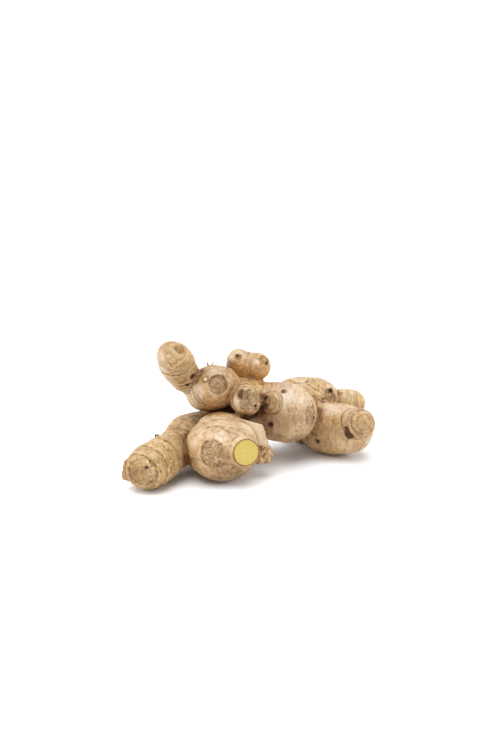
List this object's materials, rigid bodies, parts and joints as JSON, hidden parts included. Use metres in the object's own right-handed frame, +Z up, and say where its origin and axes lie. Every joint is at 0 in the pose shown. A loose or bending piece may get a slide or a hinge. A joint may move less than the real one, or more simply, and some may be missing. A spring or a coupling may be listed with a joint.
{
  "type": "ginger root",
  "caption": "Branched ginger root lying on its side, with plump ringed lobes, round stalk scars, small buds, papery scales and one flat cut end.",
  "frame": {"origin": "middle of the footprint, on the floor plane that the root lies on", "axes": "+X along the root's length, from the striped finger to the right-hand lobe; +Y from the cut front lobe to the back; +Z up"},
  "size_m": [0.1789, 0.1274, 0.0954],
  "materials": {
    "ginger_skin": "satin papery skin, pale tan with brown rings"
  },
  "bodies": {
    "root": {"rhizome": "ginger_skin"}
  },
  "joints": []
}
